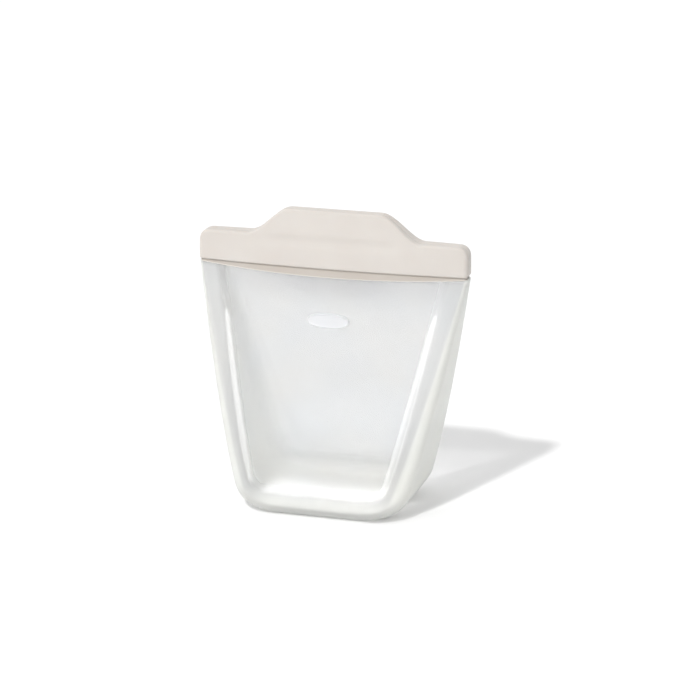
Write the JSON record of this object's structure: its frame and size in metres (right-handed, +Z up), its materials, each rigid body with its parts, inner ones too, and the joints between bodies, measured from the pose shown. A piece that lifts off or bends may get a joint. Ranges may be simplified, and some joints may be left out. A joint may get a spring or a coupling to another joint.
{
  "type": "reusable silicone bag",
  "caption": "Stand-up storage bag of frosted silicone with a thick flat base, thin see-through walls and a beige press-to-close mouth that opens by its pull tabs.",
  "frame": {"origin": "middle of the flat underside", "axes": "+X along the mouth, -Y out of the front wall with the raised oval, +Z up"},
  "size_m": [0.19, 0.0908, 0.2059],
  "materials": {
    "frosted_silicone": "frosted translucent silicone, satin",
    "beige_silicone": "satin opaque silicone",
    "patch_silicone": "polished translucent silicone"
  },
  "bodies": {
    "pouch": {"base": "frosted_silicone", "left_gusset": "frosted_silicone", "right_gusset": "frosted_silicone", "front_left_edge": "frosted_silicone", "front_right_edge": "frosted_silicone", "rear_left_edge": "frosted_silicone", "rear_right_edge": "frosted_silicone", "left_end_web": "beige_silicone", "right_end_web": "beige_silicone"},
    "front_jaw": {"front_wall": "frosted_silicone", "front_patch": "patch_silicone", "front_collar": "beige_silicone", "front_jaw_band": "beige_silicone", "front_tab": "beige_silicone", "front_rib": "beige_silicone"},
    "front_left_wing": {"front_left_collar": "beige_silicone", "front_left_wing": "beige_silicone", "front_left_rib": "beige_silicone"},
    "front_right_wing": {"front_right_collar": "beige_silicone", "front_right_wing": "beige_silicone", "front_right_rib": "beige_silicone"},
    "rear_jaw": {"rear_wall": "frosted_silicone", "rear_collar": "beige_silicone", "rear_jaw_band": "beige_silicone", "rear_tab": "beige_silicone"},
    "rear_left_wing": {"rear_left_collar": "beige_silicone", "rear_left_wing": "beige_silicone"},
    "rear_right_wing": {"rear_right_collar": "beige_silicone", "rear_right_wing": "beige_silicone"}
  },
  "joints": [
    {"name": "front_jaw_opening", "type": "hinge", "parent": "pouch", "child": "front_jaw", "pos_m": [0, -0.04162, 0.015], "axis": [1, 0, 0], "range_deg": [0, 11]},
    {"name": "rear_jaw_opening", "type": "hinge", "parent": "pouch", "child": "rear_jaw", "pos_m": [0, 0.04162, 0.015], "axis": [-1, 0, 0], "range_deg": [0, 11]},
    {"name": "front_left_fold", "type": "hinge", "parent": "front_jaw", "child": "front_left_wing", "pos_m": [-0.04, -0.0004, 0.1775], "axis": [0, 0, -1], "range_deg": [0, 27.5]},
    {"name": "front_right_fold", "type": "hinge", "parent": "front_jaw", "child": "front_right_wing", "pos_m": [0.04, -0.0004, 0.1775], "axis": [0, 0, 1], "range_deg": [0, 27.5]},
    {"name": "rear_left_fold", "type": "hinge", "parent": "rear_jaw", "child": "rear_left_wing", "pos_m": [-0.04, 0.0004, 0.1775], "axis": [0, 0, 1], "range_deg": [0, 27.5]},
    {"name": "rear_right_fold", "type": "hinge", "parent": "rear_jaw", "child": "rear_right_wing", "pos_m": [0.04, 0.0004, 0.1775], "axis": [0, 0, -1], "range_deg": [0, 27.5]}
  ],
  "couplings": [
    {"joint": "front_left_fold", "follows": "front_jaw_opening", "ratio": 2.5},
    {"joint": "front_right_fold", "follows": "front_jaw_opening", "ratio": 2.5},
    {"joint": "rear_left_fold", "follows": "rear_jaw_opening", "ratio": 2.5},
    {"joint": "rear_right_fold", "follows": "rear_jaw_opening", "ratio": 2.5}
  ]
}
